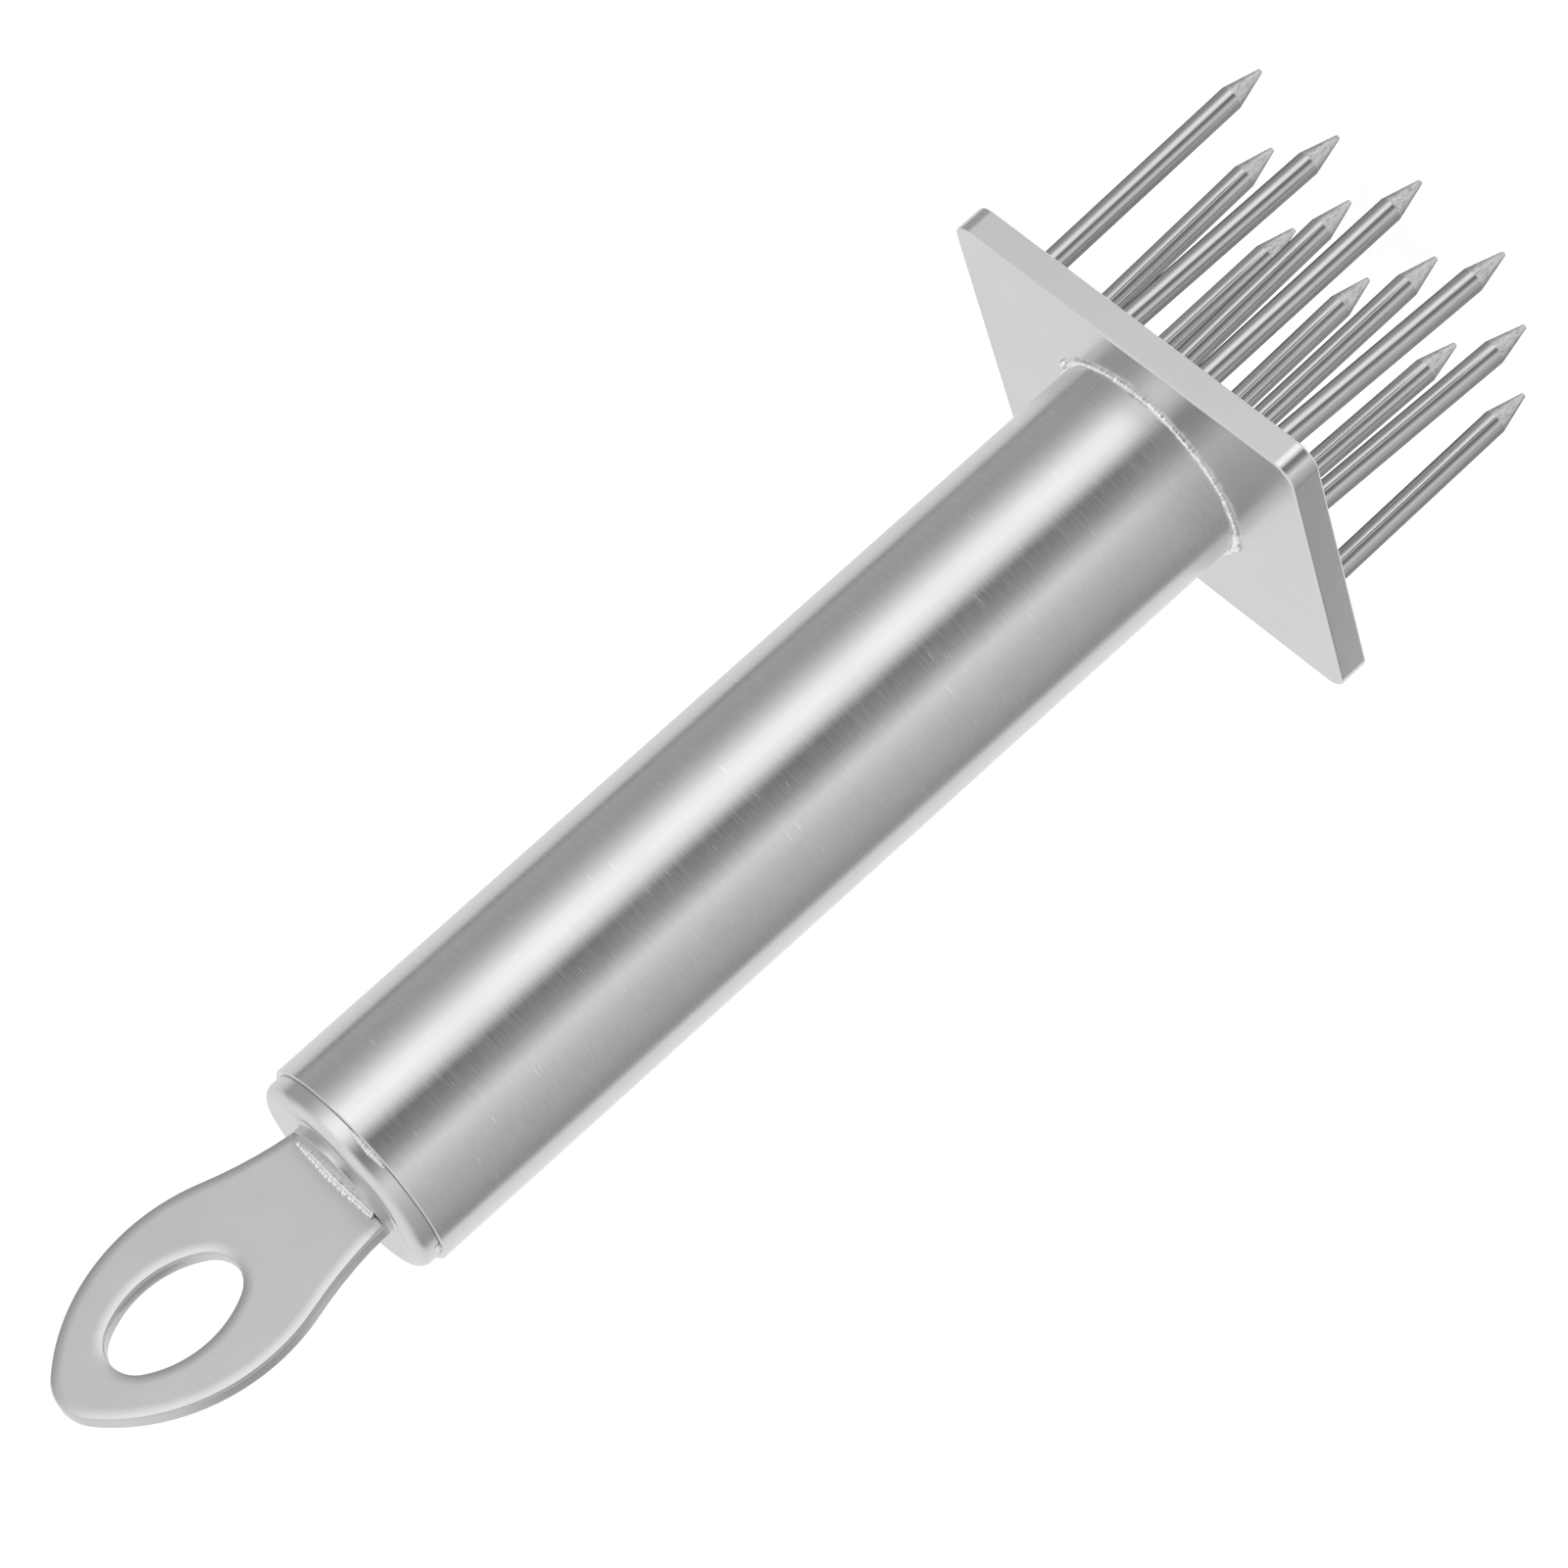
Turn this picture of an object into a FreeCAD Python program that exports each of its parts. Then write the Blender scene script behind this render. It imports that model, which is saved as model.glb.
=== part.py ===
"""Needle meat tenderizer: a square of ground needles on a welded tube handle.

Twelve needles stand in blind seats in the underside of a thick plate. A tube
handle is welded to the plate, a pressed cap closes its end, and a flat
hanging loop is welded to the boss of the cap. Millimetres, +Z from the
needle points to the loop, with the origin at the points, under the plate.
"""
import FreeCAD, Part
import math
import os
import Sketcher

# One row for each driving dimension: alias, millimetres or degrees, meaning.
DIMENSIONS = (
    ("plate_long", 50.0, "base plate, long side, along X"),
    ("plate_wide", 40.0, "base plate, short side, along Y"),
    ("plate_thick", 3.6, "base plate, thickness"),
    ("plate_corner", 2.6, "base plate, radius of its four upright corners"),
    ("plate_edge", 0.3, "base plate, broken edge round both faces"),
    ("needle_dia", 2.8, "needle, diameter of its wire"),
    ("needle_reach", 33.3, "needle, length below the plate"),
    ("needle_point", 4.1, "needle, length of the ground cone"),
    ("needle_blunt", 0.55, "needle, diameter left at the tip"),
    ("needle_seat", 2.4, "needle, depth of its blind seat in the plate"),
    ("pitch_long", 11.4, "needle spacing along X"),
    ("pitch_wide", 13.4, "needle spacing along Y"),
    ("tube_outer", 25.0, "handle tube, outside diameter"),
    ("tube_wall", 1.0, "handle tube, wall"),
    ("tube_long", 110.3, "handle tube, length"),
    ("cap_outer", 23.8, "end cap, outside diameter at the seam"),
    ("cap_wall", 1.0, "end cap, sheet thickness"),
    ("cap_skirt", 4.0, "end cap, length of the skirt inside the tube"),
    ("cap_play", 0.05, "end cap, gap between skirt and tube"),
    ("cap_rise", 2.5, "end cap, height of its rim over the seam"),
    ("cap_round", 1.5, "end cap, outer radius of its rounded rim"),
    ("dish_rise", 1.8, "end cap, height over the seam of the dish at the boss"),
    ("boss_dia", 13.8, "end cap, diameter of the boss in the dish"),
    ("boss_rise", 3.0, "end cap, height of the boss over the seam"),
    ("boss_edge", 0.6, "end cap, bevel round the top of the boss"),
    ("loop_thick", 2.0, "hanging loop, plate thickness"),
    ("loop_foot", 15.5, "hanging loop, width of its foot"),
    ("loop_wide", 22.5, "hanging loop, greatest width"),
    ("loop_waist", 17.2, "hanging loop, height of the greatest width over the foot"),
    ("loop_side", 21.6, "hanging loop, radius of each side"),
    ("loop_neck", 47.0, "hanging loop, radius of the hollow flank below each side"),
    ("loop_nose", 5.3, "hanging loop, radius of its nose"),
    ("loop_edge", 0.4, "hanging loop, broken edge round its outline and its eye"),
    ("loop_lean", 3.15, "hanging loop, lean towards -X in degrees"),
    ("loop_spare", 1.0, "hanging loop, foot left on for trimming"),
    ("eye_wide", 10.05, "oval eye, short axis"),
    ("eye_tall", 15.8, "oval eye, long axis"),
    ("eye_end", 3.8, "oval eye, radius of its two ends"),
    ("eye_rise", 20.7, "oval eye, height of its centre over the foot"),
    ("plate_bead", 0.5, "weld round the foot of the tube, leg"),
    ("tack_bead", 0.5, "tack welds on the cap seam, leg"),
    ("tack_long", 24.0, "long tack weld, its length in degrees round the seam"),
    ("tack_short", 5.0, "short tack weld, its length in degrees round the seam"),
    ("tack_bearing", 62.0, "long tack weld, bearing from +X in degrees"),
    ("tack_side", -12.0, "short tack weld, bearing from +X in degrees"),
    ("loop_bead", 0.6, "weld on each side of the loop's foot, radius"),
    ("loop_bead_long", 11.8, "weld on each side of the loop's foot, length"),
    ("loop_bead_end", 0.4, "weld on each side of the loop's foot, taper of its ends"),
)
NEEDLES_LONG = 4
NEEDLES_WIDE = 3
# Directions, in degrees, of the points that round the cap's rim in three flats.
RIM_TURNS = (0, 30, 60, 90)

# Heights over the needle points, as expressions of the sheet's aliases.
PLATE_UNDERSIDE = "dims.needle_reach"
PLATE_TOP = "dims.needle_reach + dims.plate_thick"
CAP_SEAM = PLATE_TOP + " + dims.tube_long"
BOSS_TOP = CAP_SEAM + " + dims.boss_rise"

# A sketch's own origin and axes, and the places on a line or an arc.
ORIGIN = -1
X_AXIS = -1
Y_AXIS = -2
START, END, CENTRE = 1, 2, 3

# How far apart two places, in millimetres, or two amounts, as a share, may be
# and still count as the same.
SAME_PLACE = 1e-4
SAME_SHARE = 0.01

doc = FreeCAD.newDocument("needle_tenderizer")
sheet = doc.addObject("Spreadsheet::Sheet", "dims")
for row, (alias, size, meaning) in enumerate(DIMENSIONS, start=1):
    sheet.set(f"A{row}", meaning)
    sheet.set(f"B{row}", str(size))
    sheet.setAlias(f"B{row}", alias)
doc.recompute()
pieces = []


# --- building blocks that the pieces share -----------------------------------

def worked_out(expression):
    """The number that an expression of the sheet comes to."""
    result = sheet.evalExpression(expression)
    return float(getattr(result, "Value", result))


def new_piece(kind, label):
    """An empty body or Part object whose label is the piece's name."""
    piece = doc.addObject(kind, label)
    piece.Label = label
    pieces.append(piece)
    return piece


def place(piece, x="0", y="0", z="0"):
    """Ties the piece's position to the sheet."""
    piece.setExpression("Placement.Base.x", x)
    piece.setExpression("Placement.Base.y", y)
    piece.setExpression("Placement.Base.z", z)


def sketch_on(body, role, name):
    """A sketch on one of the body's own origin planes."""
    sketch = body.newObject("Sketcher::SketchObject", name)
    plane = next(item for item in body.Origin.OriginFeatures if item.Role == role)
    sketch.AttachmentSupport = [(plane, "")]
    sketch.MapMode = "FlatFace"
    return sketch


def measure(sketch, kind, size, *ends):
    """Adds a driving constraint whose size is an expression of the sheet."""
    index = sketch.addConstraint(Sketcher.Constraint(kind, *ends, worked_out(size)))
    sketch.setExpression(f"Constraints[{index}]", size)


def outline(sketch, corners):
    """Joins corners, pairs of expressions with "0" on an axis, by straight lines."""
    points = [FreeCAD.Vector(worked_out(x), worked_out(y), 0) for x, y in corners]
    for start, end in zip(points, points[1:] + points[:1]):
        sketch.addGeometry(Part.LineSegment(start, end))
    for line, (x, y) in enumerate(corners):
        before = (line - 1) % len(corners)
        sketch.addConstraint(Sketcher.Constraint("Coincident", before, END, line, START))
        for kind, axis, size in (("DistanceX", Y_AXIS, x), ("DistanceY", X_AXIS, y)):
            if size == "0":
                sketch.addConstraint(Sketcher.Constraint("PointOnObject", line, START, axis))
            elif worked_out(size) > 0:
                measure(sketch, kind, size, ORIGIN, START, line, START)
            else:
                measure(sketch, kind, f"-({size})", line, START, ORIGIN, START)


def revolved(body, corners, name, angle="360", bearing="0"):
    """Turns a closed profile of corners about the body's Z axis, centred on a bearing."""
    sketch = sketch_on(body, "XZ_Plane", name + "_profile")
    turn = FreeCAD.Rotation(FreeCAD.Vector(0, 1, 0), worked_out(bearing))
    sketch.AttachmentOffset = FreeCAD.Placement(FreeCAD.Vector(), turn)
    if bearing != "0":
        sketch.setExpression("AttachmentOffset.Rotation.Angle", bearing)
    outline(sketch, corners)
    turned = body.newObject("PartDesign::Revolution", name)
    turned.Profile = sketch
    turned.ReferenceAxis = (sketch, ["V_Axis"])
    turned.Midplane = True
    turned.setExpression("Angle", angle)
    doc.recompute()
    return turned


def edges_of(feature, chosen):
    """The names of a feature's edges that the chosen test picks."""
    return [f"Edge{number}" for number, edge in enumerate(feature.Shape.Edges, start=1)
            if chosen(edge)]


def rounded(body, base, radius, chosen, name):
    """Rounds the chosen edges of the base feature."""
    fillet = body.newObject("PartDesign::Fillet", name)
    fillet.Base = (base, edges_of(base, chosen))
    fillet.Radius = worked_out(radius)
    fillet.setExpression("Radius", radius)
    doc.recompute()
    return fillet


def bevelled(body, base, leg, chosen, name):
    """Breaks the chosen edges of the base feature at 45 degrees."""
    chamfer = body.newObject("PartDesign::Chamfer", name)
    chamfer.Base = (base, edges_of(base, chosen))
    chamfer.Size = worked_out(leg)
    chamfer.setExpression("Size", leg)
    doc.recompute()
    return chamfer


def ring_at(radius, height):
    """A test for the whole circular edges of one radius at one height."""
    def is_that_ring(edge):
        curve = edge.Curve
        return (isinstance(curve, Part.Circle)
                and abs(curve.Radius - worked_out(radius)) < SAME_PLACE
                and abs(curve.Center.z - worked_out(height)) < SAME_PLACE)
    return is_that_ring


# --- the pieces ---------------------------------------------------------------

def base_plate():
    """Sheared and ground plate with a grid of blind seats in its underside."""
    body = new_piece("PartDesign::Body", "base_plate")
    sketch = sketch_on(body, "XY_Plane", "plate_outline")
    half_long, half_wide = worked_out("dims.plate_long / 2"), worked_out("dims.plate_wide / 2")
    corners = [FreeCAD.Vector(x * half_long, y * half_wide, 0)
               for x, y in ((-1, -1), (1, -1), (1, 1), (-1, 1))]
    for line in range(4):
        sketch.addGeometry(Part.LineSegment(corners[line], corners[(line + 1) % 4]))
    for line in range(4):
        sketch.addConstraint(
            Sketcher.Constraint("Coincident", line, END, (line + 1) % 4, START))
    for line, kind in enumerate(("Horizontal", "Vertical", "Horizontal", "Vertical")):
        sketch.addConstraint(Sketcher.Constraint(kind, line))
    sketch.addConstraint(Sketcher.Constraint("Symmetric", 0, START, 2, START, ORIGIN, START))
    measure(sketch, "DistanceX", "dims.plate_long", 0, START, 0, END)
    measure(sketch, "DistanceY", "dims.plate_wide", 1, START, 1, END)
    pad = body.newObject("PartDesign::Pad", "plate_blank")
    pad.Profile = sketch
    pad.setExpression("Length", "dims.plate_thick")
    doc.recompute()

    blank = rounded(body, pad, "dims.plate_corner", is_upright, "plate_corners")
    blank = bevelled(body, blank, "dims.plate_edge", lambda edge: not is_upright(edge),
                     "plate_edges")

    seat = sketch_on(body, "XY_Plane", "seat_outline")
    first_x = f"dims.pitch_long * {NEEDLES_LONG - 1} / 2"
    first_y = f"dims.pitch_wide * {NEEDLES_WIDE - 1} / 2"
    centre = FreeCAD.Vector(-worked_out(first_x), -worked_out(first_y), 0)
    seat.addGeometry(Part.Circle(centre, FreeCAD.Vector(0, 0, 1), worked_out("dims.needle_dia / 2")))
    measure(seat, "Diameter", "dims.needle_dia", 0)
    measure(seat, "DistanceX", first_x, 0, CENTRE, ORIGIN, START)
    measure(seat, "DistanceY", first_y, 0, CENTRE, ORIGIN, START)
    pocket = body.newObject("PartDesign::Pocket", "needle_seat_hole")
    pocket.Profile = seat
    pocket.Reversed = True
    pocket.setExpression("Length", "dims.needle_seat")
    doc.recompute()
    check_cut(blank, pocket, 1)

    pattern = body.newObject("PartDesign::LinearPattern", "needle_seat_grid")
    pattern.Originals = [pocket]
    pattern.Direction = (seat, ["H_Axis"])
    pattern.Direction2 = (seat, ["V_Axis"])
    pattern.Mode = "Extent"
    pattern.Mode2 = "Extent"
    pattern.Occurrences = NEEDLES_LONG
    pattern.Occurrences2 = NEEDLES_WIDE
    pattern.setExpression("Length", first_x + " * 2")
    pattern.setExpression("Length2", first_y + " * 2")
    body.Tip = pattern
    doc.recompute()
    check_cut(blank, pattern, NEEDLES_LONG * NEEDLES_WIDE)
    place(body, z=PLATE_UNDERSIDE)


def is_upright(edge):
    """True for an edge that runs along Z."""
    return edge.Length - edge.BoundBox.ZLength < SAME_SHARE * edge.Length


def check_cut(before, after, seats):
    """Stops the build unless the seats took their own volume out of the plate."""
    removed = before.Shape.Volume - after.Shape.Volume
    expected = seats * worked_out("pi * (dims.needle_dia / 2) ^ 2 * dims.needle_seat")
    if abs(removed - expected) > SAME_SHARE * expected:
        raise RuntimeError(f"{after.Name} removed {removed:.2f}, not {expected:.2f} mm3")


def needle(row, column):
    """Wire pin with a ground cone, its tail in its seat in the plate."""
    body = new_piece("PartDesign::Body", f"needle_row{row + 1}_{column + 1}")
    tail = "dims.needle_reach + dims.needle_seat"
    revolved(body, (
        ("0", "0"),
        ("dims.needle_blunt / 2", "0"),
        ("dims.needle_dia / 2", "dims.needle_point"),
        ("dims.needle_dia / 2", tail),
        ("0", tail),
    ), f"pin_{row}_{column}")
    place(body,
          x=f"dims.pitch_long * {column - (NEEDLES_LONG - 1) / 2}",
          y=f"dims.pitch_wide * {row - (NEEDLES_WIDE - 1) / 2}")


def handle_tube():
    """Brushed tube that stands on the plate and is open until it is capped."""
    body = new_piece("PartDesign::Body", "handle_tube")
    bore = "dims.tube_outer / 2 - dims.tube_wall"
    revolved(body, (
        (bore, "0"),
        ("dims.tube_outer / 2", "0"),
        ("dims.tube_outer / 2", "dims.tube_long"),
        (bore, "dims.tube_long"),
    ), "tube_wall_ring")
    place(body, z=PLATE_TOP)


def end_cap():
    """Pressed cap: a skirt in the tube, a rounded rim, and a boss in a dish."""
    body = new_piece("PartDesign::Body", "end_cap")
    skirt = "dims.tube_outer / 2 - dims.tube_wall - dims.cap_play"
    bore = skirt + " - dims.cap_wall"
    rim = "dims.cap_skirt + dims.cap_rise"
    dish = "dims.cap_skirt + dims.dish_rise"
    boss = "dims.cap_skirt + dims.boss_rise"
    rim_round = [(f"dims.cap_outer / 2 - dims.cap_round * (1 - cos({turn}))",
                  f"{rim} - dims.cap_round * (1 - sin({turn}))") for turn in RIM_TURNS]
    turned = revolved(body, (
        (skirt, "0"),
        (skirt, "dims.cap_skirt"),
        ("dims.cap_outer / 2", "dims.cap_skirt"),
        *rim_round,
        ("dims.boss_dia / 2", dish),
        ("dims.boss_dia / 2", boss),
        ("0", boss),
        ("0", boss + " - dims.cap_wall"),
        ("dims.boss_dia / 2 - dims.cap_wall", boss + " - dims.cap_wall"),
        ("dims.boss_dia / 2 - dims.cap_wall", dish + " - dims.cap_wall"),
        (bore, dish + " - dims.cap_wall"),
        (bore, "0"),
    ), "cap_wall_ring")
    bevelled(body, turned, "dims.boss_edge", ring_at("dims.boss_dia / 2", boss), "cap_boss")
    place(body, z=CAP_SEAM + " - dims.cap_skirt")


def hanging_loop():
    """Leaf-shaped plate with an oval eye, its foot trimmed flat on the boss."""
    body = new_piece("PartDesign::Body", "hanging_loop")
    sketch = sketch_on(body, "XZ_Plane", "loop_outline")
    sketch.setExpression("AttachmentOffset.Rotation.Angle", "dims.loop_lean")
    side = worked_out("dims.loop_side")
    neck = worked_out("dims.loop_neck")
    nose = worked_out("dims.loop_nose")
    spare = worked_out("dims.loop_spare")
    waist = worked_out("dims.loop_waist")
    foot = FreeCAD.Vector(worked_out("dims.loop_foot / 2"), 0, 0)
    side_centre = FreeCAD.Vector(worked_out("dims.loop_wide / 2") - side, waist, 0)
    nose_rise = math.sqrt((side - nose) ** 2 - side_centre.x ** 2)
    nose_centre = FreeCAD.Vector(0, waist + nose_rise, 0)
    nose_turn = math.atan2(nose_rise, -side_centre.x)
    neck_centre = outer_meeting(side_centre, side + neck, foot, neck)
    to_neck = neck_centre - side_centre
    side_turn = math.atan2(to_neck.y, to_neck.x)
    toe_turn = math.pi + math.asin((neck_centre.y + spare) / neck)
    toe_x = neck_centre.x + neck * math.cos(toe_turn)

    def mirrored(point):
        return FreeCAD.Vector(-point.x, point.y, 0)

    def add_arc(centre, radius, start, end):
        circle = Part.Circle(centre, FreeCAD.Vector(0, 0, 1), radius)
        return sketch.addGeometry(Part.ArcOfCircle(circle, start, end))

    toes = FreeCAD.Vector(-toe_x, -spare, 0), FreeCAD.Vector(toe_x, -spare, 0)
    base = sketch.addGeometry(Part.LineSegment(*toes))
    right_neck = add_arc(neck_centre, neck, math.pi + side_turn, toe_turn)
    right_arc = add_arc(side_centre, side, side_turn, nose_turn)
    nose_arc = add_arc(nose_centre, nose, nose_turn, math.pi - nose_turn)
    left_arc = add_arc(mirrored(side_centre), side, math.pi - nose_turn, math.pi - side_turn)
    left_neck = add_arc(mirrored(neck_centre), neck, math.pi - toe_turn, -side_turn)
    add = sketch.addConstraint
    add(Sketcher.Constraint("Coincident", base, END, right_neck, END))
    add(Sketcher.Constraint("Tangent", right_neck, START, right_arc, START))
    add(Sketcher.Constraint("Tangent", right_arc, END, nose_arc, START))
    add(Sketcher.Constraint("Tangent", nose_arc, END, left_arc, START))
    add(Sketcher.Constraint("Tangent", left_arc, END, left_neck, END))
    add(Sketcher.Constraint("Coincident", left_neck, START, base, START))
    add(Sketcher.Constraint("Equal", right_neck, left_neck))
    add(Sketcher.Constraint("Symmetric", base, START, base, END, Y_AXIS))
    add(Sketcher.Constraint("Symmetric", right_arc, CENTRE, left_arc, CENTRE, Y_AXIS))
    add(Sketcher.Constraint("PointOnObject", nose_arc, CENTRE, Y_AXIS))
    measure(sketch, "Radius", "dims.loop_neck", right_neck)
    measure(sketch, "Radius", "dims.loop_side", right_arc)
    measure(sketch, "Radius", "dims.loop_nose", nose_arc)
    measure(sketch, "DistanceX", "dims.loop_side - dims.loop_wide / 2",
            right_arc, CENTRE, ORIGIN, START)
    measure(sketch, "DistanceY", "dims.loop_waist", ORIGIN, START, right_arc, CENTRE)
    measure(sketch, "DistanceY", "dims.loop_spare", base, END, ORIGIN, START)
    foot_mark = sketch.addGeometry(Part.Point(foot), True)
    add(Sketcher.Constraint("PointOnObject", foot_mark, START, X_AXIS))
    add(Sketcher.Constraint("PointOnObject", foot_mark, START, right_neck))
    measure(sketch, "DistanceX", "dims.loop_foot / 2", ORIGIN, START, foot_mark, START)

    add_eye(sketch)
    pad = body.newObject("PartDesign::Pad", "loop_blank")
    pad.Profile = sketch
    pad.SideType = "Symmetric"
    pad.setExpression("Length", "dims.loop_thick")
    doc.recompute()
    edged = bevelled(body, pad, "dims.loop_edge", is_on_loop_face, "loop_edges")

    trim = sketch_on(body, "XZ_Plane", "foot_trim")
    reach = "dims.loop_foot"
    outline(trim, ((reach, "0"), (reach, "-2 * dims.loop_spare"),
                   ("-" + reach, "-2 * dims.loop_spare"), ("-" + reach, "0")))
    cut = body.newObject("PartDesign::Pocket", "foot_cut")
    cut.Profile = trim
    cut.SideType = "Symmetric"
    cut.setExpression("Length", "2 * dims.loop_thick")
    doc.recompute()
    lowest = cut.Shape.optimalBoundingBox().ZMin
    if cut.Shape.Volume >= edged.Shape.Volume or lowest < -SAME_PLACE:
        raise RuntimeError("the foot of the loop was not trimmed")
    place(body, z=BOSS_TOP)


def outer_meeting(first, first_radius, second, second_radius):
    """Where circles round two points in the XY plane meet, on the side away from -X."""
    apart = second - first
    along = (apart.Length ** 2 + first_radius ** 2 - second_radius ** 2) / (2 * apart.Length)
    across = math.sqrt(first_radius ** 2 - along ** 2)
    direction = apart / apart.Length
    normal = FreeCAD.Vector(-direction.y, direction.x, 0)
    meetings = [first + direction * along + normal * side for side in (-across, across)]
    return max(meetings, key=lambda point: point.x)


def add_eye(sketch):
    """Adds the oval eye, drawn as punches are made: two tight arcs and two wide ones."""
    half_wide, half_tall = worked_out("dims.eye_wide / 2"), worked_out("dims.eye_tall / 2")
    tight, rise = worked_out("dims.eye_end"), worked_out("dims.eye_rise")
    spread = half_tall - tight
    wide = (spread ** 2 + half_wide ** 2 - tight ** 2) / (2 * (half_wide - tight))
    turn = math.atan2(spread, wide - half_wide)
    up = FreeCAD.Vector(0, 0, 1)
    arcs = (
        (FreeCAD.Vector(half_wide - wide, rise, 0), wide, -turn, turn),
        (FreeCAD.Vector(0, rise + spread, 0), tight, turn, math.pi - turn),
        (FreeCAD.Vector(wide - half_wide, rise, 0), wide, math.pi - turn, math.pi + turn),
        (FreeCAD.Vector(0, rise - spread, 0), tight, math.pi + turn, 2 * math.pi - turn),
    )
    first = None
    for centre, radius, start, end in arcs:
        arc = sketch.addGeometry(Part.ArcOfCircle(Part.Circle(centre, up, radius), start, end))
        first = arc if first is None else first
    right, top, left, bottom = range(first, first + 4)
    add = sketch.addConstraint
    for arc, following in ((right, top), (top, left), (left, bottom), (bottom, right)):
        add(Sketcher.Constraint("Tangent", arc, END, following, START))
    add(Sketcher.Constraint("PointOnObject", top, CENTRE, Y_AXIS))
    add(Sketcher.Constraint("PointOnObject", bottom, CENTRE, Y_AXIS))
    add(Sketcher.Constraint("Equal", top, bottom))
    add(Sketcher.Constraint("Equal", right, left))
    measure(sketch, "Radius", "dims.eye_end", top)
    measure(sketch, "DistanceY", "dims.eye_tall - 2 * dims.eye_end", bottom, CENTRE, top, CENTRE)
    measure(sketch, "DistanceY", "dims.eye_rise - dims.eye_tall / 2 + dims.eye_end",
            ORIGIN, START, bottom, CENTRE)
    widest = sketch.addGeometry(Part.Point(FreeCAD.Vector(half_wide, rise, 0)), True)
    add(Sketcher.Constraint("PointOnObject", widest, START, right))
    measure(sketch, "DistanceY", "dims.eye_rise", ORIGIN, START, widest, START)
    measure(sketch, "DistanceX", "dims.eye_wide / 2", ORIGIN, START, widest, START)


def is_on_loop_face(edge):
    """True for an edge that lies in one face of the loop, but not at its foot."""
    box = edge.BoundBox
    off_face = abs(abs(box.YMin) - worked_out("dims.loop_thick / 2"))
    in_face = box.YLength < SAME_PLACE and off_face < SAME_PLACE
    at_foot = edge.Curve.TypeId == "Part::GeomLine" and box.ZMax < 0
    return in_face and not at_foot


def plate_weld():
    """Fillet weld in the corner between the tube and the plate."""
    body = new_piece("PartDesign::Body", "plate_weld")
    inner = "dims.tube_outer / 2"
    revolved(body, (
        (inner, "0"),
        (inner + " + dims.plate_bead", "0"),
        (inner, "dims.plate_bead"),
    ), "plate_bead_ring")
    place(body, z=PLATE_TOP)


def cap_tacks():
    """Tack welds in the step between cap and tube: a long and a short one, twice."""
    body = new_piece("PartDesign::Body", "cap_tacks")
    body.AllowCompound = True
    seat = "dims.cap_outer / 2"
    section = (
        (seat, "0"),
        (seat + " + dims.tack_bead", "0"),
        (seat, "dims.tack_bead"),
    )
    long_tack = revolved(body, section, "long_tack", "dims.tack_long", "dims.tack_bearing")
    short_tack = revolved(body, section, "short_tack", "dims.tack_short", "dims.tack_side")
    pattern = body.newObject("PartDesign::PolarPattern", "tacks_round_the_seam")
    pattern.Originals = [long_tack, short_tack]
    pattern.Axis = (long_tack.Profile[0], ["V_Axis"])
    pattern.Mode = "Extent"
    pattern.Angle = 360
    pattern.Occurrences = 2
    body.Tip = pattern
    place(body, z=CAP_SEAM)


def loop_weld(label, turn):
    """Weld bead along the foot of the loop, on the side that turn faces."""
    body = new_piece("PartDesign::Body", label)
    sketch = sketch_on(body, "YZ_Plane", label + "_section")
    face, leg = worked_out("dims.loop_thick / 2"), worked_out("dims.loop_bead")
    corner = FreeCAD.Vector(face, 0, 0)
    circle = Part.Circle(corner, FreeCAD.Vector(0, 0, 1), leg)
    sketch.addGeometry(Part.LineSegment(corner, corner + FreeCAD.Vector(leg, 0, 0)))
    sketch.addGeometry(Part.ArcOfCircle(circle, 0, math.pi / 2))
    sketch.addGeometry(Part.LineSegment(corner + FreeCAD.Vector(0, leg, 0), corner))
    floor, crown, wall = range(3)
    sketch.addConstraint(Sketcher.Constraint("Coincident", floor, END, crown, START))
    sketch.addConstraint(Sketcher.Constraint("Coincident", crown, END, wall, START))
    sketch.addConstraint(Sketcher.Constraint("Coincident", wall, END, floor, START))
    sketch.addConstraint(Sketcher.Constraint("Coincident", crown, CENTRE, floor, START))
    sketch.addConstraint(Sketcher.Constraint("PointOnObject", floor, START, X_AXIS))
    sketch.addConstraint(Sketcher.Constraint("Horizontal", floor))
    sketch.addConstraint(Sketcher.Constraint("Vertical", wall))
    measure(sketch, "DistanceX", "dims.loop_thick / 2", ORIGIN, START, floor, START)
    measure(sketch, "Radius", "dims.loop_bead", crown)
    pad = body.newObject("PartDesign::Pad", label + "_bead")
    pad.Profile = sketch
    pad.SideType = "Symmetric"
    pad.setExpression("Length", "dims.loop_bead_long")
    doc.recompute()

    def is_end_arc(edge):
        return isinstance(edge.Curve, Part.Circle)

    bevelled(body, pad, "dims.loop_bead_end", is_end_arc, label + "_ends")
    body.Placement.Rotation = FreeCAD.Rotation(FreeCAD.Vector(0, 0, 1), turn)
    place(body, z=BOSS_TOP)


# --- the assembly -------------------------------------------------------------

def check_document():
    """Stops the build if any object failed or any piece isn't a sound solid."""
    doc.recompute()
    for item in doc.Objects:
        if "Invalid" in item.State or "Error" in item.State:
            raise RuntimeError(f"{item.Label} is in state {item.State}")
    for piece in pieces:
        shape = piece.Shape
        if shape.isNull() or not shape.isValid() or not shape.Solids:
            raise RuntimeError(f"{piece.Label} has no sound solid")


base_plate()
for row in range(NEEDLES_WIDE):
    for column in range(NEEDLES_LONG):
        needle(row, column)
handle_tube()
plate_weld()
end_cap()
cap_tacks()
hanging_loop()
loop_weld("loop_weld_front", 0)
loop_weld("loop_weld_back", 180)
check_document()

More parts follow.
